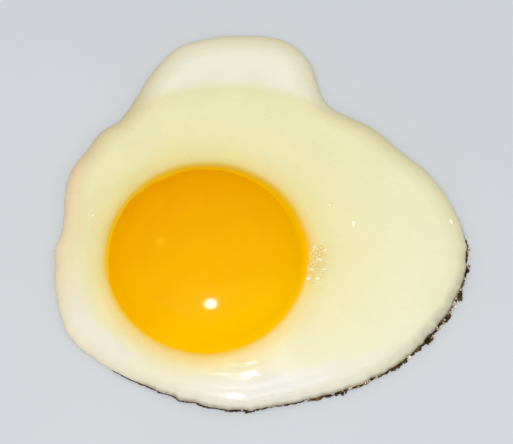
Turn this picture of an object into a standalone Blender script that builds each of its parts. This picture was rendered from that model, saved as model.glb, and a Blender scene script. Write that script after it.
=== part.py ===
"""Fried egg, sunny side up: a yolk held in the cup of its cooked white.

The white is one slab. It has a thin floor under the yolk and climbs the yolk's flank, higher
on the lobe's side. From there it falls to a thin rounded rim, whose reach from the yolk changes
with the bearing. A lobe of thinner white spreads past a crease on the far side. The yolk is a
flattened ball.

+X runs along the widest part of the white, +Y points to the lobe and +Z is up. The origin is
at the middle of the base. Bearings are degrees about the yolk's upright axis, from +X
towards +Y. Lengths below are millimetres, and MM turns them into metres.
"""
import math

import bmesh
import bpy

MM = 0.001
GAP = 0.3                # clearance between the yolk and its cup

# Yolk
YOLK_RADIUS = 22.1       # at its widest ring
YOLK_BOTTOM = 0.9        # height of its lowest point
YOLK_WIDEST = 4.2        # height of its widest ring
YOLK_CROWN = 13.7        # height of its highest point
BELLY_POWER = 2.6        # how square the lower half is, where 2 is an ellipse
DOME_POWER = 2.0         # the same for the upper half
YOLK_SIDES = 72
YOLK_STEPS = 6           # rings in each half

# White
COLLAR_FAR = 8.1         # where the white meets the yolk on the lobe's side
COLLAR_NEAR = 6.4        # and on the opposite side
FALL_POWER = 1.15        # above 1 makes the white fall faster near the yolk
RIM_HEIGHT = 3.7         # thickness where the rounded rim starts
RIM_WIDTH = 3.6          # how far in the rounded rim starts
RIM_WIDEST = 0.8         # height at which the rim reaches furthest
FOOT_INSET = 0.4         # how far the base stays inside the rim

# Swells of the slab round the yolk: (how many, height, bearing of one crest in degrees)
SWELLS = ((1, 0.7, 40.0), (3, 0.12, 20.0), (5, 0.08, 190.0))

# The side that fried against the pan thins out more gently towards its rim
THIN_BEARING = 355.0
THIN_SPREAD = 50.0
THIN_EXTRA = 3.8

# Lobe: its crease is an arc about a point given from the yolk's axis
CREASE_CENTRE = (4.0, -7.7)
CREASE_RADIUS = 49.0
CREASE_WIDTH = 2.4
CREASE_DEPTH = 0.2
LOBE_DROP = 0.9          # how much thinner the lobe is
LOBE_START = 32.0        # the crease fades in between these distances towards +Y
LOBE_FULL = 37.0

# Reach of the rim from the yolk's axis: (bearing in degrees, millimetres)
OUTLINE = (
    (0, 57.3), (11, 56.3), (21, 54.1), (33, 50.3), (40, 49.3), (46, 47.8), (53, 46.6),
    (59, 48.7), (64, 53.7), (71, 57.3), (82, 56.9), (90, 55.7), (99, 53.3), (106, 48.6),
    (114, 42.8), (121, 39.9), (129, 39.8), (136, 38.4), (145, 37.8), (153, 35.9), (165, 33.1),
    (174, 33.5), (186, 33.4), (198, 33.7), (209, 34.0), (224, 32.2), (241, 30.9), (255, 30.9),
    (272, 32.7), (289, 35.1), (305, 37.8), (319, 43.0), (335, 49.1), (349, 54.7),
)
SIDES = 120
CUP_STEPS = 3            # rings from the yolk's widest ring up to the collar
COLLAR_STEPS = 14        # rings from the yolk to the rim
RIM_STEPS = 6            # rings over the rounded rim
FOOT_STEPS = 2           # rings from the rim's widest line down to the base
FIRST_RINGS_CLOSER = 1.3  # above 1 packs the rings near the yolk

SHARP_ANGLE = math.radians(55)  # creases sharper than this show, such as the base's edge
YOLK_COLOUR = (0.96, 0.42, 0.0, 1.0)
WHITE_COLOUR = (0.86, 0.81, 0.60, 1.0)


def smooth_step(low, high, value):
    """0 below low, 1 above high, and a soft ramp between."""
    t = min(max((value - low) / (high - low), 0.0), 1.0)
    return t * t * (3.0 - 2.0 * t)


def reach(bearing):
    """The rim's distance from the yolk's axis, on a closed smooth curve through OUTLINE."""
    count = len(OUTLINE)

    def knot(i):
        turns, index = divmod(i, count)
        return OUTLINE[index][0] + 360.0 * turns, OUTLINE[index][1]

    def slope(i):
        (before, low), (here, middle), (after, high) = knot(i - 1), knot(i), knot(i + 1)
        left, right = here - before, after - here
        return ((middle - low) / left * right + (high - middle) / right * left) / (left + right)

    bearing %= 360.0
    i = max(k for k in range(count) if OUTLINE[k][0] <= bearing)
    (start, a), (end, b) = knot(i), knot(i + 1)
    span = end - start
    t = (bearing - start) / span
    rise = a + (b - a) * t * t * (3.0 - 2.0 * t)
    return rise + span * (slope(i) * t * (1.0 - t) ** 2 - slope(i + 1) * t * t * (1.0 - t))


def polar(bearing, radius):
    angle = math.radians(bearing)
    return radius * math.cos(angle), radius * math.sin(angle)


def rim_width(bearing):
    """How far in from the outline the rounded rim starts."""
    away = (bearing - THIN_BEARING + 180.0) % 360.0 - 180.0
    return RIM_WIDTH + THIN_EXTRA * math.exp(-((away / THIN_SPREAD) ** 2))


def swell(bearing):
    return sum(high * math.cos(math.radians(n * (bearing - crest))) for n, high, crest in SWELLS)


def collar_height(bearing):
    far = 0.5 + 0.5 * math.sin(math.radians(bearing))
    return COLLAR_NEAR + (COLLAR_FAR - COLLAR_NEAR) * far


def surface_height(bearing, radius):
    """Height of the white's upper face before the rim rounds it off."""
    x, y = polar(bearing, radius)
    lip = dome_radius(collar_height(bearing), GAP)
    run = reach(bearing) - rim_width(bearing) - lip
    left = max(1.0 - max(radius - lip, 0.0) / run, 0.0)
    thin = RIM_HEIGHT + swell(bearing)
    height = thin + (collar_height(bearing) - thin) * left ** FALL_POWER
    past = math.hypot(x - CREASE_CENTRE[0], y - CREASE_CENTRE[1]) - CREASE_RADIUS
    lobe = smooth_step(LOBE_START, LOBE_FULL, y)
    height -= lobe * LOBE_DROP * smooth_step(-CREASE_WIDTH, CREASE_WIDTH, past)
    height -= lobe * CREASE_DEPTH * math.exp(-((past / CREASE_WIDTH) ** 2))
    return height


def belly(grow):
    """The yolk's lower half as (radius, height), from its lowest point to its widest ring."""
    wide = YOLK_RADIUS + grow
    deep = YOLK_WIDEST - YOLK_BOTTOM + grow
    points = []
    for k in range(YOLK_STEPS + 1):
        angle = math.pi / 2 * k / YOLK_STEPS
        radius = wide * math.sin(angle) ** (2.0 / BELLY_POWER)
        points.append((radius, YOLK_WIDEST - deep * math.cos(angle) ** (2.0 / BELLY_POWER)))
    return points


def dome_radius(height, grow):
    """Radius of the yolk's upper half at a height, swelled by grow."""
    share = (height - YOLK_WIDEST) / (YOLK_CROWN - YOLK_WIDEST + grow)
    return (YOLK_RADIUS + grow) * (1.0 - share ** DOME_POWER) ** (1.0 / DOME_POWER)


def dome():
    """The yolk's upper half as (radius, height), from above its widest ring to the crown."""
    points = []
    for k in range(1, YOLK_STEPS + 1):
        angle = math.pi / 2 * k / YOLK_STEPS
        radius = YOLK_RADIUS * math.cos(angle) ** (2.0 / DOME_POWER)
        rise = (YOLK_CROWN - YOLK_WIDEST) * math.sin(angle) ** (2.0 / DOME_POWER)
        points.append((radius, YOLK_WIDEST + rise))
    return points


def white_section(bearing):
    """The white's section at a bearing as (radius, height): cup, collar, rim and foot."""
    collar = collar_height(bearing)
    lip = dome_radius(collar, GAP)
    edge = reach(bearing)
    wide = rim_width(bearing)
    rim_start = edge - wide
    points = belly(GAP)[1:]
    for k in range(1, CUP_STEPS):
        height = YOLK_WIDEST + (collar - YOLK_WIDEST) * k / CUP_STEPS
        points.append((dome_radius(height, GAP), height))
    for k in range(COLLAR_STEPS + 1):
        radius = lip + (rim_start - lip) * (k / COLLAR_STEPS) ** FIRST_RINGS_CLOSER
        points.append((radius, surface_height(bearing, radius)))
    for k in range(1, RIM_STEPS + 1):
        angle = math.pi / 2 * k / RIM_STEPS
        radius = rim_start + wide * math.sin(angle)
        over = surface_height(bearing, radius) - RIM_WIDEST
        points.append((radius, RIM_WIDEST + over * math.cos(angle)))
    for k in range(1, FOOT_STEPS + 1):
        angle = math.pi / 2 * k / FOOT_STEPS
        radius = edge - FOOT_INSET * (1.0 - math.cos(angle))
        points.append((radius, RIM_WIDEST * (1.0 - math.sin(angle))))
    return points


def yolk_axis():
    """Where the yolk stands, so that the white's outline is centred on the origin."""
    rim = [polar(b, reach(b)) for b in (360.0 * k / SIDES for k in range(SIDES))]
    xs = [x for x, _ in rim]
    ys = [y for _, y in rim]
    return -(min(xs) + max(xs)) / 2, -(min(ys) + max(ys)) / 2


def skin(name, sections, first, last, colour, roughness):
    """A closed body from sections that go round the axis, with a point at each end.

    Each section is a list of (x, y, z) that starts near the point first and ends near last.
    """
    bm = bmesh.new()
    loops = [[bm.verts.new([c * MM for c in p]) for p in section] for section in sections]
    top = bm.verts.new([c * MM for c in first])
    bottom = bm.verts.new([c * MM for c in last])
    for left, right in zip(loops, loops[1:] + loops[:1]):
        bm.faces.new((top, left[0], right[0]))
        for k in range(len(left) - 1):
            bm.faces.new((left[k], left[k + 1], right[k + 1], right[k]))
        bm.faces.new((left[-1], bottom, right[-1]))
    bmesh.ops.recalc_face_normals(bm, faces=bm.faces)
    mesh = bpy.data.meshes.new(name)
    bm.to_mesh(mesh)
    bm.free()
    mesh.shade_smooth()
    mesh.set_sharp_from_angle(angle=SHARP_ANGLE)
    mesh.materials.append(surface(name, colour, roughness))
    piece = bpy.data.objects.new(name, mesh)
    bpy.context.scene.collection.objects.link(piece)
    return piece


def surface(name, colour, roughness):
    material = bpy.data.materials.new(name)
    material.use_nodes = True
    shader = material.node_tree.nodes["Principled BSDF"]
    shader.inputs["Base Color"].default_value = colour
    shader.inputs["Roughness"].default_value = roughness
    shader.inputs["Metallic"].default_value = 0.0
    return material


def make_white(axis):
    sections = []
    for k in range(SIDES):
        bearing = 360.0 * k / SIDES
        section = []
        for radius, height in white_section(bearing):
            x, y = polar(bearing, radius)
            section.append((axis[0] + x, axis[1] + y, height))
        sections.append(section)
    cup_floor = (axis[0], axis[1], YOLK_BOTTOM - GAP)
    base_middle = (axis[0], axis[1], 0.0)
    return skin("egg_white", sections, cup_floor, base_middle, WHITE_COLOUR, 0.35)


def make_yolk(axis):
    profile = belly(0.0)[1:] + dome()[:-1]
    sections = []
    for k in range(YOLK_SIDES):
        points = [(*polar(360.0 * k / YOLK_SIDES, radius), height) for radius, height in profile]
        sections.append([(axis[0] + x, axis[1] + y, z) for x, y, z in points])
    lowest = (axis[0], axis[1], YOLK_BOTTOM)
    crown = (axis[0], axis[1], YOLK_CROWN)
    return skin("yolk", sections, lowest, crown, YOLK_COLOUR, 0.2)


def main():
    for old in list(bpy.data.objects):
        bpy.data.objects.remove(old)
    axis = yolk_axis()
    make_white(axis)
    make_yolk(axis)


main()
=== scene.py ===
"""Looks of a fried egg, sunny side up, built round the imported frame.

Fine meshes stand for the frame's white and yolk, at the frame's own size. Three small pieces are
added: froth and blisters on the white, the browned lace along its fried side, and drops of fat.

Lengths are millimetres and MM turns them into metres. Bearings are degrees about the yolk's
upright axis, from +X towards +Y. "Past" is the distance beyond the ring where the yolk's colour
gives way to the white's, and "in" is the distance inside the outline of the white.
"""
import math

import bpy
import numpy as np
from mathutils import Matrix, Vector
from mathutils.bvhtree import BVHTree
from mathutils.kdtree import KDTree


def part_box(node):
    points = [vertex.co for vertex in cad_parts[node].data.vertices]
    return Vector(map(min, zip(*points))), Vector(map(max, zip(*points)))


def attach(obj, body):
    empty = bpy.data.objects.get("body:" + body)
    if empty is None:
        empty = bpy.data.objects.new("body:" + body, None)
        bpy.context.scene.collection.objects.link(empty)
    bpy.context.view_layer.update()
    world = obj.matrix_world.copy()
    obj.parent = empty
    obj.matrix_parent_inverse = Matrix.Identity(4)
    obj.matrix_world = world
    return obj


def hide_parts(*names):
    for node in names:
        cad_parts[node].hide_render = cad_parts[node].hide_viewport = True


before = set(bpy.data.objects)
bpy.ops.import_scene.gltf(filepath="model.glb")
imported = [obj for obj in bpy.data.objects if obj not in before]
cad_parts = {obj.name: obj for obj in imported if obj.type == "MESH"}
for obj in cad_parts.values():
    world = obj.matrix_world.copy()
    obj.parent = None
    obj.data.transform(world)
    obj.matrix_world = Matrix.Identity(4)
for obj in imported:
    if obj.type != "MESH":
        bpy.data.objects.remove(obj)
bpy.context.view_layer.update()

MM = 0.001

# ---------------------------------------------------------------- sizes

# Fineness of the meshes: sections round the axis, and rings along each section
BEARINGS = 640
CUP_STEPS = 8
TOP_STEPS = 80
RIM_STEPS = 30
FOOT_STEPS = 4
BASE_STEPS = 10
YOLK_BEARINGS = 480
DOME_STEPS = 160
BELLY_STEPS = 24

# The yolk's section, as the frame has it
BELLY_POWER = 2.6        # how square the lower half is, where 2 is an ellipse
CUP_GAP = 0.3            # between the yolk and the white's cup, out of sight

# Beads of froth and fat along the fried rim: (bearing, how far in from the frame's outline, size)
RIM_BEADS = (
    (262.0, 0.2, 0.16), (283.0, 0.3, 0.18), (297.0, 0.4, 0.18), (305.0, 0.5, 0.20),
    (312.6, 0.7, 0.30), (315.0, 0.6, 0.22), (317.0, 0.8, 0.32), (319.0, 0.4, 0.28),
    (321.7, 0.5, 0.30), (324.5, 0.7, 0.30), (326.5, 1.0, 0.26), (333.7, 0.3, 0.40),
    (340.9, 0.3, 0.24), (342.9, 0.5, 0.32), (345.6, 0.7, 0.26), (347.7, 0.7, 0.38),
    (349.2, 1.1, 0.34), (350.0, 0.5, 0.40), (351.2, 0.9, 0.32), (353.4, 0.7, 0.30),
    (356.0, 0.5, 0.22), (359.1, 0.1, 0.34), (362.9, -0.1, 0.26),
)

# The white's section, as the frame has it
COLLAR_FAR = 8.1         # where the white meets the yolk on the lobe's side
COLLAR_NEAR = 6.4        # and on the opposite side
RIM_HEIGHT = 0.8         # where the rim reaches furthest
RIM_WIDTH = 3.6          # how far in the rounded rim starts
THIN_BEARING = 355.0     # the fried side thins more gently
THIN_SPREAD = 50.0
THIN_EXTRA = 3.8
FOOT_INSET = 0.4
PACK_NEAR_YOLK = 1.15    # above 1 packs the rings near the yolk
SMOOTH_ROUND = 2.2       # degrees over which the frame's facets are evened out
SMOOTH_ALONG = 6.0       # rings over which they are
SMOOTH_RIM = 5.0         # and at the rim

# Where yolk and white touch, the white clings to the yolk in one smooth surface
SKIRT_SLOPE = 0.9        # the dome falls no more steeply than this
CLING = 0.8              # how softly the two surfaces run into each other
FIRST_OUT = 0.1          # how far past the lip the frame's surface is first read
SLOPE_RUN = 1.5          # over which its slope there is taken
STRAIGHT = 3.0           # how far inward it goes on at that slope
SEAM_OUT = 0.5           # how far past the frame's lip the white's surface takes over
SEAM_OVERLAP = 0.5       # how far each piece runs on under the other
SEAM_SINK = 0.04         # and how deep it lies there

# The fried side: how far the white stops inside the frame's outline, (bearing, millimetres)
FRIED_INSET = (
    (228, 0.0), (240, 0.15), (272, 0.15), (284, 0.4), (300, 0.3), (310, 0.4), (320, 0.75),
    (334, 0.7), (342, 0.95), (348, 0.95), (357, 0.75), (366, 0.35), (372, 0.0),
)

# The browned lace: where it runs, what it is grown from and how much there is, by bearing
LACE_START = 231.0
LACE_END = 371.0
LACE_PITCH = 0.15        # from one clump of blobs to the next
LACE_BLOBS = 3           # in each clump
LACE_SIZE = (0.14, 0.30)
LACE_VOXEL = 0.085       # how finely the blobs are grown together
LACE_INSIDE = 0.25       # how far it reaches in over the white's edge
LACE_DEEPER = 0.35       # and how much further beyond the second of these bearings
DEEPER_BETWEEN = (268.0, 284.0)
LACE_AT = (
    (228, 0.7), (284, 0.8), (300, 0.55), (328, 0.5), (335, 0.9), (342, 1.05), (348, 0.75),
    (372, 0.75),
)

# Where the yolk's colour gives way to the white's: (bearing, distance from the axis)
COLOUR_EDGE = (
    (0, 22.3), (15, 21.4), (45, 20.5), (60, 19.9), (90, 19.7), (120, 20.3), (150, 21.1),
    (180, 21.7), (210, 22.1), (270, 22.6), (300, 22.4), (330, 21.9), (345, 21.8), (360, 22.3),
)

# Bearings of the sides that look different, each the middle of its stretch
FRIED_BEARING = 305.0
SCORCHED_BEARING = 348.0
SCORCHED_SPREAD = 17.0
LEFT_BEARING = 190.0
BLUSH_BEARING = 185.0
NEAR_BEARING = 284.0     # a shallow trough runs along the rim here

# By bearing: how pale the white is, how sharply the yolk's colour ends, how strongly the rim is
# browned by the pan and darkened with painted shade where it turns away from the light, and how
# milky the white is beside the rim
PALE_AT = (
    (0, 0.05), (30, 0.03), (60, 0.0), (150, 0.0), (180, 0.16), (210, 0.50), (240, 0.75),
    (270, 1.0), (300, 0.75), (330, 0.25), (345, 0.12), (360, 0.05),
)
SHARP_AT = (
    (0, 0.5), (15, 0.4), (90, 0.0), (135, 0.3), (180, 0.6), (210, 0.95), (240, 1.0), (330, 1.0),
    (345, 0.8), (360, 0.5),
)
# The tan is partly browning and partly painted shade, strongest on the far rims that turn away from
# the light
TAN_AND_SHADE_AT = (
    (0, 0.15), (20, 0.4), (45, 0.75), (60, 0.4), (75, 0.65), (90, 0.6), (105, 0.7), (114, 1.0),
    (140, 1.0), (160, 0.65), (180, 0.6), (190, 0.5), (203, 0.25), (228, 0.25), (240, 0.15),
    (330, 0.1), (345, 0.05), (360, 0.15),
)
MILKY_AT = (
    (175, 0.0), (188, 0.15), (200, 0.4), (215, 0.4), (228, 0.4), (240, 0.1), (260, 0.1),
    (272, 0.2), (285, 0.4), (300, 0.55), (320, 0.25), (340, 0.0),
)

# Film of white over the yolk's flank: (bearing, distance from the axis where it starts)
FILM_START = (
    (-45, 23.2), (-30, 22.2), (-15, 20.9), (0, 19.9), (15, 19.4), (30, 18.9), (60, 18.4),
    (90, 18.3), (105, 18.5), (120, 18.9), (135, 19.5), (150, 20.1), (180, 20.9), (195, 21.5),
    (208, 22.4), (220, 23.2),
)
FILM_RELIEF = 0.02
# Painted highlight: a paler spot coloured on the yolk where a faint glint of light falls
PAINTED_HIGHLIGHT = (-9.5, 0.2)       # a paler spot on the yolk, from the axis
PAINTED_HIGHLIGHT_SIZE = 0.9

# Lobe: its crease is an arc about a point given from the yolk's axis
CREASE_CENTRE = (4.0, -7.7)
CREASE_RADIUS = 49.0
LOBE_START = 32.0
LOBE_FULL = 37.0

# Wet places that mirror the lamp above the camera: (place from the axis, how sharply they bend
# across and along, how wide they are across and along, how wet they are)
GLINTS = (
    ((5.8, -26.2), (0.005, 0.180), (5.2, 0.45), 0.5),
    ((9.6, -24.0), (0.012, 0.180), (2.8, 0.4), 0.5),
    ((10.0, -26.2), (0.016, 0.075), (3.8, 1.15), 1.0),
    ((6.1, -30.4), (0.030, 0.055), (2.5, 1.2), 1.0),
)

# Dents in the white: (bearing, distance from the axis, depth, width)
DENTS = ((19.5, 32.6, 0.10, 0.9), (160.0, 26.7, 0.06, 0.5))

# Froth beside the yolk, as a patch about a point given from the axis, with the bubbles that are
# painted near white as highlights: (across, along, size)
FROTH_ACROSS = (21.0, 27.0)
FROTH_ALONG = (-7.4, 2.0)
FROTH_MIDDLE = -2.6      # where the patch is widest, along
FROTH_HALF = 4.4         # half its length
FROTH_OUT = 1.4          # how far past the yolk its middle is
FROTH_WIDE = 2.3         # and half its width
FROTH_SIZES = (0.16, 0.26, 0.38, 0.52)
FROTH_SHARES = (0.35, 0.3, 0.2, 0.15)
FROTH_TRIES = 4000
STAIN_CENTRE = (23.6, -2.8)  # middle of the white's froth colour round the bubbles
STAIN_SPREAD = (2.6, 4.6)
FROTH_GLINTS = (
    (23.1, 1.1, 0.34), (25.5, 0.5, 0.36), (24.3, -1.7, 0.42), (22.4, -3.9, 0.36),
    (25.1, -3.9, 0.40), (21.7, -6.0, 0.46), (23.7, -5.9, 0.50),
)

# The blisters are painted near white as highlights.
# Blisters on the white: (bearing, distance from the axis, radius, height, stretch, heading)
BLISTERS = (
    (12.4, 32.5, 0.58, 0.22, 1.8, 78.0),
    (9.1, 54.0, 0.40, 0.22, 2.0, 115.0),
    (22.6, 28.9, 0.26, 0.12, 1.5, 10.0),
    (159.7, 26.7, 0.28, 0.12, 1.3, 20.0),
)


# ---------------------------------------------------------------- helpers

def smooth_step(low, high, value):
    """0 below low, 1 above high, and a soft ramp between."""
    t = np.clip((value - low) / (high - low), 0.0, 1.0)
    return t * t * (3.0 - 2.0 * t)


def hump(value, centre, width):
    return np.exp(-(((value - centre) / width) ** 2))


def turn(bearing, centre):
    """Degrees from centre to bearing, between -180 and 180."""
    return (bearing - centre + 180.0) % 360.0 - 180.0


def between(bearing, points):
    """The value at a bearing, from (bearing, value) points that cover part of the circle."""
    start = points[0][0]
    places = [place for place, _ in points]
    values = [value for _, value in points]
    return np.interp((bearing - start) % 360.0 + start, places, values, right=values[-1])


def waves(seed, x, y, length):
    """Uneven bumps of about unit height, made of crossing waves of about one length."""
    random = np.random.default_rng(seed)
    count = 18
    total = np.zeros(np.shape(x))
    for _ in range(count):
        heading = random.uniform(0.0, 2.0 * math.pi)
        step = length * math.exp(random.uniform(-0.4, 0.4))
        along = (x * math.cos(heading) + y * math.sin(heading)) / step
        total = total + np.sin(2.0 * math.pi * (along + random.uniform(0.0, 1.0)))
    return total * math.sqrt(2.0 / count)


def smooth_round(values, width):
    """Evens values out along their last axis, which goes once round; width is in degrees."""
    count = values.shape[-1]
    cycles = np.arange(count // 2 + 1)
    keep = np.exp(-0.5 * (cycles * math.radians(width)) ** 2)
    return np.fft.irfft(np.fft.rfft(values, axis=-1) * keep, count, axis=-1)


def smooth_along(values, width):
    """Evens values out along their first axis and holds both ends; width is in rings."""
    reach = int(3 * width) + 1
    weights = np.exp(-0.5 * (np.arange(-reach, reach + 1) / width) ** 2)
    weights /= weights.sum()
    before = 2.0 * values[:1] - values[reach:0:-1]
    after = 2.0 * values[-1:] - values[-2:-reach - 2:-1]
    padded = np.concatenate((before, values, after))
    return sum(w * padded[k:k + len(values)] for k, w in enumerate(weights))


def ring_mesh(name, rings, first, last, layers):
    """A closed mesh from rings of points, with a point at each end.

    rings is (ring, bearing, xyz), from the end named first to the end named last. layers holds
    one number for each point under each name, as (values on the rings, at first, at last).
    """
    count, sides, _ = rings.shape
    points = np.concatenate((rings.reshape(-1, 3), [first], [last])) * MM
    top, bottom = count * sides, count * sides + 1
    here = np.arange(sides)
    following = np.roll(here, -1)
    starts = np.arange(count - 1)[:, None] * sides
    quads = np.stack((starts + here, starts + sides + here,
                      starts + sides + following, starts + following), -1).reshape(-1, 4)
    end = (count - 1) * sides
    faces = [(top, a, b) for a, b in zip(here.tolist(), following.tolist())]
    faces += quads.tolist()
    faces += [(end + a, bottom, end + b) for a, b in zip(here.tolist(), following.tolist())]
    mesh = bpy.data.meshes.new(name)
    mesh.from_pydata(points.tolist(), [], faces)
    for layer, (values, at_first, at_last) in layers.items():
        attribute = mesh.attributes.new(layer, "FLOAT", "POINT")
        everything = np.concatenate((np.ravel(values), [at_first, at_last]))
        attribute.data.foreach_set("value", everything.astype(np.float32))
    mesh.shade_smooth()
    return add_piece(name, mesh)


def add_piece(name, mesh):
    piece = bpy.data.objects.new(name, mesh)
    bpy.context.scene.collection.objects.link(piece)
    return piece


def ball(rings=7, sides=12):
    """Points and faces of a unit ball."""
    points = [(0.0, 0.0, 1.0)]
    for k in range(1, rings):
        down = math.pi * k / rings
        for j in range(sides):
            angle = 2.0 * math.pi * j / sides
            points.append((math.sin(down) * math.cos(angle), math.sin(down) * math.sin(angle),
                           math.cos(down)))
    points.append((0.0, 0.0, -1.0))
    faces = [(0, 1 + j, 1 + (j + 1) % sides) for j in range(sides)]
    for k in range(rings - 2):
        low, high = 1 + k * sides, 1 + (k + 1) * sides
        for j in range(sides):
            after = (j + 1) % sides
            faces.append((low + j, high + j, high + after, low + after))
    start, end = 1 + (rings - 2) * sides, len(points) - 1
    faces += [(start + j, end, start + (j + 1) % sides) for j in range(sides)]
    return np.array(points), faces


def blob_mesh(name, blobs, unit, picks=None):
    """One mesh of many stretched balls, each (centre, radii, heading in degrees).

    The layer crown goes from -1 at each ball's lowest point to 1 at its highest, and the layer
    pick is one number from 0 to 1 for each ball.
    """
    shape, shape_faces = unit
    points, faces, crown, pick = [], [], [], []
    if picks is None:
        picks = np.random.default_rng(len(blobs)).uniform(size=len(blobs))
    for (centre, radii, heading), choice in zip(blobs, picks):
        angle = math.radians(heading)
        spin = np.array(((math.cos(angle), math.sin(angle), 0.0),
                         (-math.sin(angle), math.cos(angle), 0.0), (0.0, 0.0, 1.0)))
        start = len(points) * len(shape)
        points.append((shape * radii) @ spin + centre)
        faces += [tuple(start + i for i in face) for face in shape_faces]
        crown.append(shape[:, 2])
        pick.append(np.full(len(shape), choice))
    mesh = bpy.data.meshes.new(name)
    mesh.from_pydata((np.concatenate(points) * MM).tolist(), [], faces)
    for layer, values in (("crown", crown), ("pick", pick)):
        attribute = mesh.attributes.new(layer, "FLOAT", "POINT")
        attribute.data.foreach_set("value", np.concatenate(values).astype(np.float32))
    mesh.shade_smooth()
    return add_piece(name, mesh)


# ---------------------------------------------------------------- what the frame says

def frame_tree(node):
    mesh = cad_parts[node].data
    return BVHTree.FromPolygons([v.co for v in mesh.vertices], [p.vertices for p in mesh.polygons])


def drop(tree, x, y):
    """Height of the first face met from above at each point."""
    above = 40.0 * MM
    down = Vector((0.0, 0.0, -1.0))
    heights = []
    for px, py in zip(np.ravel(x) * MM, np.ravel(y) * MM):
        place = tree.ray_cast(Vector((px, py, above)), down)[0]
        heights.append(place.z / MM if place else 0.0)
    return np.array(heights).reshape(np.shape(x))


def frame_yolk():
    """The yolk's axis, radius, lowest point, widest height and crown, from the frame."""
    low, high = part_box("yolk")
    axis = np.array(((low.x + high.x) / 2, (low.y + high.y) / 2)) / MM
    radius = (high.x - low.x) / 2 / MM
    points = np.array([v.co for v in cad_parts["yolk"].data.vertices]) / MM
    out = np.hypot(points[:, 0] - axis[0], points[:, 1] - axis[1])
    widest = points[out > radius - 0.02, 2].mean()
    return axis, radius, low.z / MM, widest, high.z / MM


AXIS, YOLK_RADIUS, YOLK_BOTTOM, YOLK_WIDEST, YOLK_CROWN = frame_yolk()
WHITE_TREE = frame_tree("egg_white")

# The camera looks along +Y from above, and a small lamp stands beside it
CAMERA_HEIGHT = 68.0     # degrees above the horizon
CAMERA_DISTANCE = 300.0
CAMERA_LENS = 94.95      # on a sensor 36 mm wide
AIM = Vector((AXIS[0] + 10.68, AXIS[1] + 9.77, 0.0))
LEAN = math.radians(CAMERA_HEIGHT)
EYE = AIM + CAMERA_DISTANCE * Vector((0.0, -math.cos(LEAN), math.sin(LEAN)))
LAMP = AIM + 1.2 * (EYE + Vector((-4.0, 5.2, 1.8)) - AIM)


def frame_reach(bearing):
    """How far the frame's white reaches from the axis on each bearing."""
    far = 100.0
    found = []
    for angle in np.radians(bearing):
        way = Vector((math.cos(angle), math.sin(angle), 0.0))
        start = Vector((*AXIS, RIM_HEIGHT)) * MM + way * far * MM
        distance = WHITE_TREE.ray_cast(start, -way)[3]
        found.append(far - distance / MM)
    return np.array(found)


def belly(grow, steps):
    """The yolk's lower half as (radius, height) arrays, from its lowest point to its widest."""
    angle = np.linspace(0.0, math.pi / 2, steps + 1)
    radius = (YOLK_RADIUS + grow) * np.sin(angle) ** (2.0 / BELLY_POWER)
    deep = YOLK_WIDEST - YOLK_BOTTOM + grow
    height = YOLK_WIDEST - deep * np.abs(np.cos(angle)) ** (2.0 / BELLY_POWER)
    return radius, height


def dome_height(radius):
    share = np.clip(1.0 - (radius / YOLK_RADIUS) ** 2, 0.0, 1.0)
    return YOLK_WIDEST + (YOLK_CROWN - YOLK_WIDEST) * np.sqrt(share)


def yolk_surface(radius):
    """Height of the dome, which goes on as a straight skirt once it falls steeply enough."""
    steep = SKIRT_SLOPE * YOLK_RADIUS / (YOLK_CROWN - YOLK_WIDEST)
    start = YOLK_RADIUS * steep / math.hypot(1.0, steep)
    return dome_height(np.minimum(radius, start)) - SKIRT_SLOPE * np.maximum(radius - start, 0.0)


def lip_radius(bearing):
    """How far from the axis the frame's white starts."""
    far = 0.5 + 0.5 * np.sin(np.radians(bearing))
    collar = COLLAR_NEAR + (COLLAR_FAR - COLLAR_NEAR) * far
    share = (collar - YOLK_WIDEST) / (YOLK_CROWN - YOLK_WIDEST + CUP_GAP)
    return (YOLK_RADIUS + CUP_GAP) * np.sqrt(1.0 - share ** 2)


def white_surface(bearing, radius):
    """Height of the frame's white, which goes on inward as straight as it starts.

    radius is (ring, bearing) and covers the lip on every bearing.
    """
    way_x, way_y = np.cos(np.radians(bearing)), np.sin(np.radians(bearing))

    def height_at(reach):
        return drop(WHITE_TREE, AXIS[0] + reach * way_x, AXIS[1] + reach * way_y)

    first = lip_radius(bearing) + FIRST_OUT
    start = smooth_round(height_at(first), SMOOTH_ROUND)
    slope = smooth_round(height_at(first + SLOPE_RUN), SMOOTH_ROUND) - start
    back = np.maximum(first - radius, 0.0)
    along = np.maximum(radius, first) - first - np.minimum(back, STRAIGHT)
    line = start + along * slope / SLOPE_RUN
    line = line - 2.0 * np.maximum(back - STRAIGHT, 0.0)
    outward = height_at(np.maximum(radius, first))
    return line + (outward - line) * smooth_step(0.8, 2.2, radius - first)


def joined_surface(radius, white):
    """The dome and the white's surface as one, with a soft hollow where they meet."""
    yolk = yolk_surface(radius)
    close = np.maximum(CLING - np.abs(yolk - white), 0.0) / CLING
    return np.maximum(yolk, white) + close * close * CLING / 4.0


def seam_radius(bearing):
    return lip_radius(bearing) + SEAM_OUT


# ---------------------------------------------------------------- white

def white_outline(bearing):
    """The white's own edge and the frame's, on each bearing."""
    framed = smooth_round(frame_reach(bearing), 1.3)
    angle = np.radians(bearing)
    x, y = framed * np.cos(angle), framed * np.sin(angle)
    fried = fried_side(bearing)
    left = left_side(bearing)
    uneven = 0.04 + 0.12 * fried + 0.04 * left
    ripple = uneven * (0.8 * waves(11, x, y, 5.0) + 0.4 * waves(12, x, y, 2.2))
    inset = smooth_round(between(bearing, FRIED_INSET), 3.0)
    return framed - inset + ripple - 0.05, framed


def fried_side(bearing):
    """1 along the browned edge and 0 away from it."""
    return smooth_step(70.0, 50.0, np.abs(turn(bearing, FRIED_BEARING)))


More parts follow.
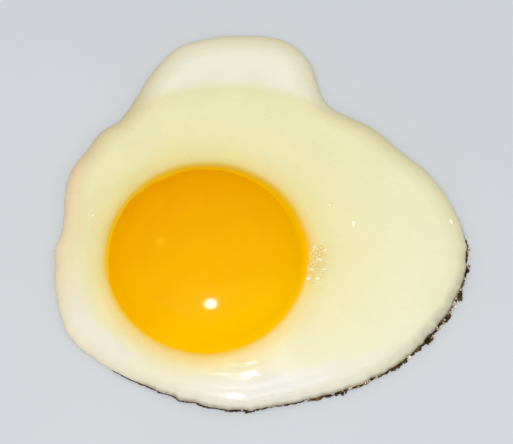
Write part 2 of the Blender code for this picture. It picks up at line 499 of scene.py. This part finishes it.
def scorched_side(bearing):
    """1 where the fried side's thin rim is brownest, less along the rest of it."""
    hot = np.exp(-((turn(bearing, SCORCHED_BEARING) / SCORCHED_SPREAD) ** 2))
    return fried_side(bearing) * (0.10 + 0.90 * hot)


def left_side(bearing):
    return smooth_step(52.0, 30.0, np.abs(turn(bearing, LEFT_BEARING)))


def blush_side(bearing):
    """1 where the browning is rosier."""
    return smooth_step(65.0, 30.0, np.abs(turn(bearing, BLUSH_BEARING)))


def rim_width(bearing):
    return RIM_WIDTH + THIN_EXTRA * np.exp(-((turn(bearing, THIN_BEARING) / THIN_SPREAD) ** 2))


def edge_distance(x, y, outline):
    """Distance from each point to the nearest point of the outline."""
    tree = KDTree(len(outline))
    for k, (px, py) in enumerate(outline):
        tree.insert((px, py, 0.0), k)
    tree.balance()
    found = [tree.find((px, py, 0.0))[2] for px, py in zip(np.ravel(x), np.ravel(y))]
    return np.array(found).reshape(np.shape(x))


def top_details(bearing, radius, x, y, inside):
    """What the fine surface adds to the frame's height."""
    free = smooth_step(1.0, 4.0, radius - seam_radius(bearing)) * smooth_step(0.0, 3.0, inside)
    from_near = turn(bearing, NEAR_BEARING)
    calm = 1.0 - 0.8 * hump(from_near, 0.0, 34.0)
    height = free * calm * (0.10 * waves(1, x, y, 14.0) + 0.016 * waves(2, x, y, 5.0))
    height = height - 0.13 * hump(from_near, 0.0, 30.0) * hump(inside, 3.9, 1.6)
    height = height + left_side(bearing) * 0.03 * hump(inside, 0.7, 0.5)
    height = height + fried_side(bearing) * 0.03 * waves(5, x, y, 1.7) * hump(inside, 1.0, 0.8)
    for place, reach, depth, width in DENTS:
        angle = math.radians(place)
        away = np.hypot(x - reach * math.cos(angle), y - reach * math.sin(angle))
        height = height - depth * hump(away, 0.0, width)
    return height


def wetness(x, y):
    """1 inside the places that mirror the lamp and 0 elsewhere."""
    wet = np.zeros(np.shape(x))
    for (place_x, place_y), _, (wide, deep), amount in GLINTS:
        away = np.hypot((x - place_x) / wide, (y - place_y) / deep)
        wet = np.maximum(wet, amount * smooth_step(0.8, 0.5, away))
    return wet


def froth_stain(x, y):
    """1 in the middle of the froth's patch and 0 away from it."""
    wide, deep = STAIN_SPREAD
    away = np.hypot((x - STAIN_CENTRE[0]) / wide, (y - STAIN_CENTRE[1]) / deep)
    return hump(away, 0.0, 0.8)


def crease_distance(x, y):
    """How far past the lobe's crease each point is."""
    return np.hypot(x - CREASE_CENTRE[0], y - CREASE_CENTRE[1]) - CREASE_RADIUS


def lobe_share(y):
    return smooth_step(LOBE_START, LOBE_FULL, y)


def add_glint(x, y, height, glint):
    """Height with one place shaped so that it mirrors the lamp to the camera."""
    (place_x, place_y), (bend_across, bend_along), (wide, deep), _ = glint
    dx, dy = x - place_x, y - place_y
    close = np.hypot(dx, dy) < 1.2
    terms = np.stack((np.ones(close.sum()), dx[close], dy[close]), -1)
    level = np.linalg.lstsq(terms, height[close], rcond=None)[0][0]
    spot = Vector((AXIS[0] + place_x, AXIS[1] + place_y, level))
    halfway = (EYE - spot).normalized() + (LAMP - spot).normalized()
    shaped = level - (halfway.x * dx + halfway.y * dy) / halfway.z
    shaped = shaped - bend_across * dx * dx / 2.0 - bend_along * dy * dy / 2.0
    away = (dx / wide) ** 2 + (dy / deep) ** 2
    return height + (shaped - height) * np.exp(-away ** 1.5)


def make_white():
    """The cooked white as rings: the yolk's cup, the top, the rounded rim, the foot and the base."""
    bearing = np.arange(BEARINGS) * 360.0 / BEARINGS
    angle = np.radians(bearing)
    way = np.stack((np.cos(angle), np.sin(angle)), -1)
    edge, framed = white_outline(bearing)
    rim = rim_width(bearing)
    seam = seam_radius(bearing)
    lip = seam - SEAM_OVERLAP

    share = (np.arange(TOP_STEPS + 1) / TOP_STEPS)[:, None] ** PACK_NEAR_YOLK
    lean = (math.pi / 2 * np.arange(1, RIM_STEPS + 1) / RIM_STEPS)[:, None]
    flat = lip + (framed - rim - lip) * share
    sampled = np.concatenate((flat, framed - rim * (1.0 - np.sin(lean))))
    height = white_surface(bearing, sampled[:-1])
    height = np.concatenate((height, np.full((1, BEARINGS), RIM_HEIGHT)))
    evened = smooth_round(height, SMOOTH_ROUND)
    ring = np.arange(len(height))[:, None]
    top, side = smooth_along(evened, SMOOTH_ALONG), smooth_along(evened, SMOOTH_RIM)
    evened = top + (side - top) * smooth_step(TOP_STEPS - 6.0, TOP_STEPS + 6.0, ring)
    height = height + (evened - height) * smooth_step(0.6, 2.0, sampled - lip)
    height[-1] = RIM_HEIGHT
    radius = sampled + (edge - framed) * smooth_step(-5.0, 0.0, sampled - framed)
    x, y = radius * way[:, 0], radius * way[:, 1]
    inside = edge_distance(x, y, edge[:, None] * way)
    height = joined_surface(radius, height)
    height = height + top_details(bearing, radius, x, y, inside)
    for glint in GLINTS:
        height = add_glint(x, y, height, glint)
    height = height - SEAM_SINK * smooth_step(seam + 1.0, seam - 1.0, radius)

    cup_radius, cup_height = belly(CUP_GAP, CUP_STEPS)
    cup_radius = np.repeat(cup_radius[1:, None], BEARINGS, 1)
    cup_height = np.repeat(cup_height[1:, None], BEARINGS, 1)
    lean = (math.pi / 2 * np.arange(1, FOOT_STEPS + 1) / FOOT_STEPS)[:, None]
    foot_radius = edge - FOOT_INSET * (1.0 - np.cos(lean))
    foot_height = np.repeat(RIM_HEIGHT * (1.0 - np.sin(lean)), BEARINGS, 1)
    share = 1.0 - (np.arange(1, BASE_STEPS + 1) / (BASE_STEPS + 1))[:, None] ** 1.3
    base_radius = foot_radius[-1] * share
    base_x, base_y = base_radius * way[:, 0], base_radius * way[:, 1]
    pits = 0.10 * np.clip(waves(7, base_x, base_y, 6.0), 0.0, 1.5)

    radii = np.concatenate((cup_radius, radius, foot_radius, base_radius))
    heights = np.concatenate((cup_height, height, foot_height, pits))
    places = radii[:, :, None] * way
    rings = np.concatenate((places + AXIS, heights[:, :, None]), -1)
    across, along = places[:, :, 0], places[:, :, 1]

    def over_top(values, elsewhere):
        """A layer that is worked out on the top and is one number on the rings below it."""
        before = np.full((CUP_STEPS, BEARINGS), elsewhere)
        after = np.full((FOOT_STEPS + BASE_STEPS, BEARINGS), 0.0)
        return np.concatenate((before, values, after))

    below = np.zeros(radii.shape)
    below[-BASE_STEPS - 1:] = 1.0
    beyond = crease_distance(across, along)
    lobe = lobe_share(along) * smooth_step(-1.6, 2.2, beyond)
    # painted shade along the lobe's crease
    crease = lobe_share(along) * hump(beyond, -0.6, 1.0)
    past = radii - between(bearing, COLOUR_EDGE)
    layers = {
        "past": (past, 0.0, 0.0),
        "in": (over_top(inside, 9.0), 9.0, 9.0),
        "pale": (pale_share(bearing, radii, past), 0.0, 0.0),
        # tan and painted shade on the rim, by bearing
        "tan": (np.broadcast_to(between(bearing, TAN_AND_SHADE_AT), radii.shape), 0.0, 0.0),
        "blush": (np.broadcast_to(blush_side(bearing), radii.shape), 0.0, 0.0),
        "milky": (np.broadcast_to(between(bearing, MILKY_AT), radii.shape), 0.0, 0.0),
        "lobe": (lobe, 0.0, 0.0),
        "crease": (crease, 0.0, 0.0),
        "fried": (np.broadcast_to(fried_side(bearing), radii.shape), 0.0, 0.0),
        "scorched": (np.broadcast_to(scorched_side(bearing), radii.shape), 0.0, 0.0),
        "froth": (froth_stain(across, along), 0.0, 0.0),
        "wet": (wetness(across, along), 0.0, 0.0),
        "below": (below, 0.0, 1.0),
    }
    first = (*AXIS, YOLK_BOTTOM - CUP_GAP)
    last = (*AXIS, 0.0)
    return ring_mesh("white", rings, first, last, layers)


def pale_share(bearing, radius, past):
    """0 for the yolk's soft and yellowish far edge, 1 for its sharp and pale near edge."""
    pale = between(bearing, PALE_AT)
    right = 0.35 * np.clip(np.cos(np.radians(bearing + 15.0)), 0.0, 1.0) ** 2
    pale = pale + right * smooth_step(8.0, 26.0, radius - YOLK_RADIUS)
    sharp = between(bearing, SHARP_AT)
    return np.clip(sharp + (pale - sharp) * smooth_step(0.8, 3.5, past), 0.0, 1.0)


# ---------------------------------------------------------------- yolk

def film_edge(bearing):
    """How far from the axis the film of white starts on the yolk's flank."""
    x, y = YOLK_RADIUS * np.cos(np.radians(bearing)), YOLK_RADIUS * np.sin(np.radians(bearing))
    return between(bearing, FILM_START) + 0.12 * waves(21, x, y, 9.0) + 0.05 * waves(23, x, y, 3.0)


def make_yolk():
    """The yolk as rings: its dome with the film of white on the far flank, then its lower half."""
    bearing = np.arange(YOLK_BEARINGS) * 360.0 / YOLK_BEARINGS
    angle = np.radians(bearing)
    way = np.stack((np.cos(angle), np.sin(angle)), -1)
    seam = seam_radius(bearing)
    dome = (seam + SEAM_OVERLAP) * (np.arange(1, DOME_STEPS + 1) / DOME_STEPS)[:, None]
    start = film_edge(bearing)
    crisp = 0.16 + 0.5 * hump(turn(bearing, 0.0), 0.0, 22.0)
    film = smooth_step(-crisp, crisp, dome - start)
    lower_radius, lower_height = belly(0.0, BELLY_STEPS)
    lower_radius = np.repeat(lower_radius[-2:0:-1, None], YOLK_BEARINGS, 1)
    lower_height = np.repeat(lower_height[-2:0:-1, None], YOLK_BEARINGS, 1)
    across, along = dome * way[:, 0], dome * way[:, 1]
    free = smooth_step(seam - 1.0, seam - 3.0, dome)
    relief = free * (0.03 * waves(22, across, along, 16.0) + FILM_RELIEF * film)
    sink = SEAM_SINK * smooth_step(seam - 1.0, seam + 1.0, dome)
    upper = joined_surface(dome, white_surface(bearing, dome)) + relief - sink
    radii = np.concatenate((dome, lower_radius))
    heights = np.concatenate((upper, lower_height))
    rings = np.concatenate((radii[:, :, None] * way + AXIS, heights[:, :, None]), -1)
    # painted highlight: the paler spot on the yolk
    spot = hump(np.hypot(across - PAINTED_HIGHLIGHT[0], along - PAINTED_HIGHLIGHT[1]), 0.0, PAINTED_HIGHLIGHT_SIZE)

    past = radii - between(bearing, COLOUR_EDGE)

    def over_dome(values):
        return np.concatenate((values, np.zeros(lower_radius.shape)))

    layers = {
        "film": (over_dome(film), 0.0, 0.0),
        "past": (past, -9.0, -9.0),
        "pale": (pale_share(bearing, radii, past), 0.0, 0.0),
        "spot": (over_dome(spot), 0.0, 0.0),
        "flank": (over_dome(smooth_step(0.0, 3.0, dome - 13.8 + 1.8 * np.sin(angle))), 1.0, 1.0),
        # painted shade: how near the camera's side a point is, which colours the yolk darker on its
        # far side
        "painted_shade_nearness": (over_dome((0.4 * across - along) / YOLK_RADIUS), 0.0, 0.0),
    }
    first = (*AXIS, float(upper[0].mean()))
    last = (*AXIS, YOLK_BOTTOM)
    return ring_mesh("yolk_dome", rings, first, last, layers)


# ---------------------------------------------------------------- small pieces

def piece_tree(piece):
    mesh = piece.data
    return BVHTree.FromPolygons([v.co for v in mesh.vertices], [p.vertices for p in mesh.polygons])


def make_bubbles(tree):
    """Froth beside the yolk and a few blisters elsewhere on the white."""
    random = np.random.default_rng(31)
    unit = ball()
    blobs = []
    picks = []
    taken = []
    # a pick of 1 paints these bubbles near white as highlights
    for x, y, size in FROTH_GLINTS:
        taken.append((x, y, size))
        blobs.append(blister(tree, x, y, 0.8 * size, 0.5 * size, 1.5, 0.0))
        picks.append(1.0)
    for _ in range(FROTH_TRIES):
        x = random.uniform(*FROTH_ACROSS)
        y = random.uniform(*FROTH_ALONG)
        size = random.choice(FROTH_SIZES, p=FROTH_SHARES)
        size *= random.uniform(0.85, 1.15)
        out = math.hypot(x, y) - YOLK_RADIUS
        patch = ((y - FROTH_MIDDLE) / FROTH_HALF) ** 2 + ((out - FROTH_OUT) / FROTH_WIDE) ** 2
        if out < -0.1 or patch > random.uniform(0.4, 1.0):
            continue
        if any(math.hypot(x - a, y - b) < 0.9 * (size + c) for a, b, c in taken):
            continue
        taken.append((x, y, size))
        blobs.append(blister(tree, x, y, size, size * random.uniform(0.35, 0.65), 1.0, 0.0))
        # picks above about 0.55 paint a bubble partly towards near white as a highlight
        picks.append(random.uniform(0.0, 0.8))
    # a pick of 1 paints the blisters near white as highlights
    for bearing, reach, size, tall, stretch, heading in BLISTERS:
        angle = math.radians(bearing)
        x, y = reach * math.cos(angle), reach * math.sin(angle)
        blobs.append(blister(tree, x, y, size, tall, stretch, heading))
        picks.append(1.0)
    return blob_mesh("bubbles", blobs, unit, picks)


def blister(tree, x, y, size, tall, stretch, heading):
    ground = float(drop(tree, np.array([AXIS[0] + x]), np.array([AXIS[1] + y]))[0])
    centre = np.array((AXIS[0] + x, AXIS[1] + y, ground - 0.25 * tall))
    return centre, np.array((size * stretch, size, 1.25 * tall)), heading


def fringe_width(bearing):
    """How far the browned lace reaches past the white's edge."""
    return between(bearing, FRIED_INSET) + 0.1 * fried_side(bearing)


def make_crisp_edge(edge_at):
    """Browned lace: blobs of crust along the fried side, grown together."""
    random = np.random.default_rng(41)
    unit = ball(5, 8)
    blobs = []
    bearing = LACE_START
    while bearing < LACE_END:
        edge = float(edge_at(bearing))
        width = float(fringe_width(bearing))
        angle = math.radians(bearing)
        x, y = edge * math.cos(angle), edge * math.sin(angle)
        broad, fine = float(waves(42, x, y, 4.0)), float(waves(43, x, y, 1.6))
        clump = between(bearing, LACE_AT) + 0.35 * broad + 0.2 * fine
        reach = width * min(max(clump, 0.4), 1.4)
        inner = -LACE_INSIDE - LACE_DEEPER * float(smooth_step(*DEEPER_BETWEEN, bearing))
        for _ in range(LACE_BLOBS):
            size = random.uniform(*LACE_SIZE)
            out = random.uniform(inner, max(reach - 0.8 * size, -0.2))
            lean = math.radians(bearing + random.uniform(-0.3, 0.3))
            far = edge + out
            centre = np.array((AXIS[0] + far * math.cos(lean), AXIS[1] + far * math.sin(lean),
                               random.uniform(0.14, 0.40) + 0.25 * max(0.0, -out)))
            radii = np.array((size * random.uniform(1.2, 2.0), size,
                              size * random.uniform(0.7, 1.0)))
            centre[2] = max(centre[2], radii[2])
            blobs.append((centre, radii, bearing + 90.0 + random.uniform(-35.0, 35.0)))
        bearing += math.degrees(LACE_PITCH / edge)
    piece = blob_mesh("crisp_edge", blobs, unit)
    remesh = piece.modifiers.new("Grow together", "REMESH")
    remesh.mode = "VOXEL"
    remesh.voxel_size = LACE_VOXEL * MM
    remesh.use_smooth_shade = True
    fix_modifiers(piece)
    return piece


def fix_modifiers(piece):
    """Turns what a piece's modifiers make into its own mesh."""
    graph = bpy.context.evaluated_depsgraph_get()
    made = bpy.data.meshes.new_from_object(piece.evaluated_get(graph))
    piece.modifiers.clear()
    old = piece.data
    piece.data = made
    bpy.data.meshes.remove(old)
    made.name = piece.name
    made.shade_smooth()


def make_drops():
    """Small drops of fat and froth along the browned lace, the palest painted near white as
    highlights.
    """
    random = np.random.default_rng(51)
    unit = ball(8, 14)
    blobs = []
    for place, inset, size in RIM_BEADS:
        for k in range(4):
            angle = math.radians(place + (random.uniform(-0.9, 0.9) if k else 0.0))
            radius = size * (random.uniform(0.35, 0.7) if k else 0.85)
            far = float(frame_reach(np.array([math.degrees(angle)]))[0]) - inset
            far += random.uniform(-0.35, 0.35) if k else 0.0
            centre = np.array((AXIS[0] + far * math.cos(angle), AXIS[1] + far * math.sin(angle),
                               random.uniform(0.45, 0.8)))
            radii = np.array((radius * random.uniform(1.0, 1.4), radius, 0.75 * radius))
            blobs.append((centre, radii, random.uniform(0.0, 180.0)))
    return blob_mesh("fat_drops", blobs, unit)


# ---------------------------------------------------------------- materials

def colour(red, green, blue):
    """A linear colour from display values of 0 to 255."""
    def linear(value):
        value /= 255.0
        return value / 12.92 if value <= 0.04045 else ((value + 0.055) / 1.055) ** 2.4
    return linear(red), linear(green), linear(blue), 1.0


class Finish:
    """A material and short ways to add nodes to it."""

    def __init__(self, name):
        self.material = bpy.data.materials.new(name)
        self.material.use_nodes = True
        self.tree = self.material.node_tree
        self.shader = self.tree.nodes["Principled BSDF"]
        self.place = self.tree.nodes.new("ShaderNodeTexCoord").outputs["Object"]

    def set(self, **sockets):
        for name, value in sockets.items():
            self.shader.inputs[name.replace("_", " ")].default_value = value

    def link(self, output, socket):
        self.tree.links.new(output, self.shader.inputs[socket])

    def feed(self, node, socket, value):
        if isinstance(value, bpy.types.NodeSocket):
            self.tree.links.new(value, node.inputs[socket])
        else:
            node.inputs[socket].default_value = value

    def layer(self, name):
        node = self.tree.nodes.new("ShaderNodeAttribute")
        node.attribute_name = name
        return node.outputs["Fac"]

    def noise(self, length, detail=2.0, low=0.0, high=1.0):
        """Noise of about the given length in millimetres, from low to high."""
        node = self.tree.nodes.new("ShaderNodeTexNoise")
        self.feed(node, "Vector", self.place)
        node.inputs["Scale"].default_value = 1.0 / (length * MM)
        node.inputs["Detail"].default_value = detail
        return self.range(node.outputs["Fac"], 0.3, 0.7, low, high)

    def range(self, value, from_low, from_high, to_low=0.0, to_high=1.0):
        node = self.tree.nodes.new("ShaderNodeMapRange")
        self.feed(node, "Value", value)
        self.feed(node, "From Min", from_low)
        self.feed(node, "From Max", from_high)
        self.feed(node, "To Min", to_low)
        self.feed(node, "To Max", to_high)
        return node.outputs["Result"]

    def math(self, operation, first, second):
        node = self.tree.nodes.new("ShaderNodeMath")
        node.operation = operation
        self.feed(node, 0, first)
        self.feed(node, 1, second)
        return node.outputs[0]

    def ramp(self, value, span, stops):
        """Colours along a value: stops are (value, colour), and span is the last stop's value."""
        node = self.tree.nodes.new("ShaderNodeValToRGB")
        self.feed(node, "Fac", self.math("DIVIDE", value, span))
        band = node.color_ramp
        while len(band.elements) < len(stops):
            band.elements.new(0.5)
        for element, (place, shade) in zip(band.elements, stops):
            element.position = place / span
            element.color = shade
        return node.outputs["Color"]

    def blend(self, share, first, second, kind="MIX"):
        node = self.tree.nodes.new("ShaderNodeMix")
        node.data_type = "RGBA"
        node.blend_type = kind
        self.feed(node, 0, share)
        self.feed(node, 6, first)
        self.feed(node, 7, second)
        return node.outputs[2]

    def bump(self, value, depth):
        """A relief of the given depth in millimetres."""
        node = self.tree.nodes.new("ShaderNodeBump")
        node.inputs["Distance"].default_value = depth * MM
        self.feed(node, "Height", value)
        self.link(node.outputs["Normal"], "Normal")


def edge_colours(finish):
    """The white's colours by how far past the yolk's edge they are, for the far and near sides, with
    painted shade just past the edge on the far side.
    """
    past = finish.math("ADD", finish.layer("past"), 2.0)
    # painted shade: from the edge to about 1.2 mm past it the far side's colours dip darker
    far = finish.ramp(past, 16.0, [(place + 2.0, colour(*shade)) for place, shade in (
        (-1.2, (246, 182, 4)), (-0.8, (239, 182, 22)), (-0.4, (233, 182, 45)),
        (0.0, (228, 184, 65)), (0.4, (226, 189, 85)), (0.8, (225, 197, 106)),
        (1.2, (227, 204, 123)), (2.0, (231, 213, 140)), (2.8, (234, 219, 149)),
        (4.0, (234, 221, 158)), (6.0, (234, 225, 167)), (9.0, (234, 227, 174)),
        (14.0, (234, 228, 179)),
    )])
    near = finish.ramp(past, 16.0, [(place + 2.0, colour(*shade)) for place, shade in (
        (-0.5, (251, 191, 6)), (-0.2, (243, 188, 34)), (0.2, (241, 197, 84)),
        (0.6, (242, 206, 118)), (1.0, (240, 211, 128)), (1.8, (239, 216, 148)),
        (2.6, (241, 223, 166)), (3.4, (239, 226, 180)), (5.0, (235, 228, 201)),
        (8.0, (232, 228, 208)), (14.0, (232, 230, 212)),
    )])
    return finish.blend(finish.layer("pale"), far, near)


def white_finish():
    """Cooked white: pale past the yolk's edge, browned by the pan along its rim and underneath, with
    painted shade on its far rims, in the crease and just past the yolk's far edge.
    """
    finish = Finish("cooked_white")
    inside = finish.layer("in")
    body = edge_colours(finish)
    # painted shade: a darker line coloured along the lobe's crease
    crease = finish.math("MULTIPLY", finish.layer("crease"), 0.22)
    body = finish.blend(crease, body, colour(226, 216, 164))
    body = finish.blend(finish.layer("lobe"), body, colour(235, 232, 208))
    body = finish.blend(finish.noise(9.0, 2.0, 0.0, 0.08), body, colour(246, 241, 214))

    froth = finish.math("MULTIPLY", finish.layer("froth"), finish.noise(0.9, 2.0, -0.2, 0.8))
    body = finish.blend(froth, body, colour(226, 192, 106))
    milky = finish.math("MULTIPLY", finish.layer("milky"), finish.range(inside, 6.6, 4.4))
    milky = finish.math("MULTIPLY", milky, finish.range(inside, 0.2, 2.4, 0.2, 1.0))
    body = finish.blend(milky, body, colour(230, 229, 234))
    # painted shade and browning: the rim darkens towards its edge, most where it turns away from the
    # light
    tan = finish.math("MULTIPLY", finish.layer("tan"), finish.range(inside, 6.0, 0.0))
    browning_and_shade = finish.blend(finish.layer("blush"), colour(205, 186, 136), colour(227, 189, 150))
    body = finish.blend(tan, body, browning_and_shade)
    scorched = finish.layer("scorched")
    grey = finish.math("MULTIPLY", scorched, finish.range(inside, 2.4, 0.4))
    grey = finish.math("MULTIPLY", grey, finish.noise(1.4, 3.0, 0.6, 1.1))
    body = finish.blend(grey, body, colour(188, 180, 155))
    browned = finish.math("MULTIPLY", scorched, finish.range(inside, 0.45, 0.0))
    browned = finish.math("MULTIPLY", browned, finish.noise(0.8, 3.0, 0.2, 1.1))
    body = finish.blend(browned, body, colour(96, 76, 46))
    rim = finish.math("SUBTRACT", finish.layer("fried"), scorched)
    rim = finish.math("MULTIPLY", rim, finish.range(inside, 0.6, 0.0))
    rim = finish.math("MULTIPLY", rim, finish.noise(1.6, 1.0, 0.4, 0.75))
    body = finish.blend(rim, body, colour(132, 100, 60))

    fried_under = finish.ramp(finish.noise(5.0, 4.0), 1.0, (
        (0.0, colour(238, 226, 180)), (0.45, colour(224, 184, 112)), (0.75, colour(190, 128, 62)),
        (1.0, colour(136, 82, 36)),
    ))
    body = finish.blend(finish.layer("below"), body, fried_under)
    finish.link(body, "Base Color")
    dry = finish.noise(3.0, 2.0, 0.26, 0.34)
    finish.link(finish.range(finish.layer("wet"), 0.0, 1.0, dry, 0.10), "Roughness")
    finish.bump(finish.noise(2.2, 2.0), 0.004)
    finish.link(finish.range(finish.layer("past"), 1.0, 3.5, 0.0, 0.15), "Subsurface Weight")
    finish.set(IOR=1.38, Subsurface_Radius=(1.0, 0.85, 0.6), Subsurface_Scale=0.0014)
    return finish.material


def yolk_finish():
    """Soft glossy yolk with painted shade and a painted highlight, paler under its film and turning
    into the white's colours at its edge.
    """
    finish = Finish("soft_yolk")
    # Painted shade: the yolk is coloured darker on its far side and brighter on its near side, as
    # the light falls.
    body = finish.ramp(finish.range(finish.layer("painted_shade_nearness"), -1.0, 1.0), 1.0, (
        (0.1, colour(234, 153, 0)), (0.35, colour(238, 163, 0)), (0.5, colour(240, 168, 0)),
        (0.75, colour(243, 175, 0)), (0.9, colour(246, 186, 0)),
    ))
    body = finish.blend(finish.noise(9.0, 3.0, 0.0, 0.12), body, colour(252, 186, 0))
    body = finish.blend(finish.noise(3.2, 3.0, 0.0, 0.10), body, colour(250, 190, 4))
    # painted highlight: a paler spot coloured on the yolk
    spot = finish.math("MULTIPLY", finish.layer("spot"), 0.5)
    body = finish.blend(spot, body, colour(255, 196, 30))
    body = finish.blend(finish.layer("film"), body, colour(250, 186, 0))
    past = finish.layer("past")
    soft = finish.range(finish.layer("pale"), 0.0, 0.7, -1.4, -0.5)
    white = finish.range(past, soft, finish.math("ADD", soft, 0.3))
    body = finish.blend(white, body, edge_colours(finish))
    finish.link(body, "Base Color")
    finish.link(finish.noise(4.0, 2.0, 0.08, 0.12), "Roughness")
    finish.link(finish.range(finish.layer("flank"), 0.0, 1.0, 0.5, 0.0), "Specular IOR Level")
    finish.bump(finish.noise(1.6, 2.0), 0.002)
    finish.set(IOR=1.36)
    return finish.material


def bubble_finish():
    """Froth: bubbles painted lighter towards their crowns as if lit from above, some painted near
    white as highlights.
    """
    finish = Finish("froth")
    # painted light and shade: each bubble darker at its foot and lighter at its crown
    crown = finish.range(finish.layer("crown"), 0.1, 1.0)
    dull = finish.ramp(crown, 1.0, (
        (0.0, colour(214, 182, 106)), (0.5, colour(231, 206, 128)), (1.0, colour(240, 222, 148)),
    ))
    # painted highlights: bubbles coloured near white where they should glint
    painted_glint = finish.ramp(crown, 1.0, (
        (0.0, colour(234, 214, 146)), (0.5, colour(248, 236, 186)), (1.0, colour(255, 251, 226)),
    ))
    body = finish.blend(finish.range(finish.layer("pick"), 0.55, 0.9), dull, painted_glint)
    finish.link(body, "Base Color")
    finish.link(finish.noise(1.0, 2.0, 0.06, 0.14), "Roughness")
    finish.set(IOR=1.38)
    return finish.material


def crisp_finish():
    finish = Finish("browned_lace")
    body = finish.ramp(finish.noise(1.3, 4.0), 1.0, (
        (0.0, colour(34, 22, 10)), (0.45, colour(62, 42, 20)), (0.75, colour(98, 66, 32)),
        (1.0, colour(150, 114, 64)),
    ))
    finish.link(body, "Base Color")
    finish.link(finish.noise(0.8, 2.0, 0.15, 0.4), "Roughness")
    finish.bump(finish.noise(0.4, 3.0), 0.04)
    finish.set(IOR=1.45)
    return finish.material


def drop_finish():
    finish = Finish("fat")
    # painted highlights: the palest drops are coloured near white where they should glint; the rest
    # are froth and browned fat
    body = finish.ramp(finish.layer("pick"), 1.0, (
        (0.0, colour(250, 246, 234)), (0.25, colour(222, 214, 190)), (0.6, colour(190, 178, 146)),
        (1.0, colour(132, 106, 66)),
    ))
    finish.link(body, "Base Color")
    finish.link(finish.noise(0.6, 2.0, 0.04, 0.10), "Roughness")
    finish.set(IOR=1.47)
    return finish.material


def floor_finish():
    finish = Finish("floor")
    finish.link(finish.blend(finish.noise(60.0, 3.0), colour(202, 205, 208), colour(205, 208, 211)),
                "Base Color")
    finish.link(finish.noise(40.0, 2.0, 0.62, 0.70), "Roughness")
    finish.set(Specular_IOR_Level=0.2)
    return finish.material


# ---------------------------------------------------------------- stage

def look(thing, place, target):
    thing.location = place * MM
    thing.rotation_euler = (target - place).to_track_quat("-Z", "Y").to_euler()


def make_camera():
    data = bpy.data.cameras.new("camera")
    data.lens = CAMERA_LENS
    data.sensor_width = 36.0
    data.clip_start = 0.01
    data.clip_end = 20.0
    camera = bpy.data.objects.new("camera", data)
    bpy.context.scene.collection.objects.link(camera)
    look(camera, EYE, AIM)
    bpy.context.scene.camera = camera


def area_light(name, shape, place, target, size, watts, tint, mirrored):
    data = bpy.data.lights.new(name, "AREA")
    data.shape = shape
    data.size = size[0] * MM
    data.size_y = size[1] * MM
    data.energy = watts
    data.color = tint
    light = bpy.data.objects.new(name, data)
    bpy.context.scene.collection.objects.link(light)
    look(light, place, target)
    light.visible_glossy = mirrored


def make_floor():
    """A round floor whose far rim sweeps up into a backdrop."""
    flat, sweep, sides = 1100.0, 500.0, 96
    profile = [(flat * k / 4, 0.0) for k in range(1, 5)]
    for k in range(1, 13):
        lean = math.pi / 2 * k / 12
        profile.append((flat + sweep * math.sin(lean), sweep * (1.0 - math.cos(lean))))
    points = [(0.0, 0.0, 0.0)]
    for radius, height in profile:
        for j in range(sides):
            angle = 2.0 * math.pi * j / sides
            x, y = radius * math.cos(angle), radius * math.sin(angle)
            points.append((x * MM, y * MM, height * MM))
    faces = [(0, 1 + j, 1 + (j + 1) % sides) for j in range(sides)]
    for k in range(len(profile) - 1):
        low, high = 1 + k * sides, 1 + (k + 1) * sides
        for j in range(sides):
            after = (j + 1) % sides
            faces.append((low + j, high + j, high + after, low + after))
    mesh = bpy.data.meshes.new("floor")
    mesh.from_pydata(points, [], faces)
    mesh.shade_smooth()
    floor = add_piece("floor", mesh)
    floor.data.materials.append(floor_finish())


def make_stage():
    """Camera, floor, a broad soft key light, the small lamp that the egg mirrors and a pale sky."""
    make_camera()
    make_floor()
    lean = math.radians(72.0)
    key = AIM + 800.0 * Vector((-0.10, -math.cos(lean), math.sin(lean)))
    area_light("key", "RECTANGLE", key, AIM, (500.0, 500.0), 1.9, (1.0, 0.99, 0.97), False)
    area_light("lamp", "ELLIPSE", LAMP, AIM, (43.0, 47.0), 0.21, (1.0, 1.0, 1.0), True)
    world = bpy.data.worlds.new("studio")
    world.use_nodes = True
    background = world.node_tree.nodes["Background"]
    background.inputs["Color"].default_value = (0.96, 0.98, 1.0, 1.0)
    background.inputs["Strength"].default_value = 0.75
    world.cycles_visibility.glossy = False
    bpy.context.scene.world = world
    bpy.context.scene.view_settings.view_transform = "Standard"


# ---------------------------------------------------------------- the egg

def main():
    make_stage()
    white = make_white()
    white.data.materials.append(white_finish())
    yolk = make_yolk()
    yolk.data.materials.append(yolk_finish())
    bearing = np.arange(BEARINGS + 1) * 360.0 / BEARINGS
    edge, _ = white_outline(bearing[:-1])
    edge = np.append(edge, edge[0])

    def edge_at(place):
        return np.interp(place % 360.0, bearing, edge)

    tree = piece_tree(white)
    bubbles = make_bubbles(tree)
    bubbles.data.materials.append(bubble_finish())
    crisp = make_crisp_edge(edge_at)
    crisp.data.materials.append(crisp_finish())
    drops = make_drops()
    drops.data.materials.append(drop_finish())

    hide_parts("egg_white")
    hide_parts("yolk")
    for piece in (white, bubbles, crisp, drops):
        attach(piece, "root")
    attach(yolk, "root")


main()
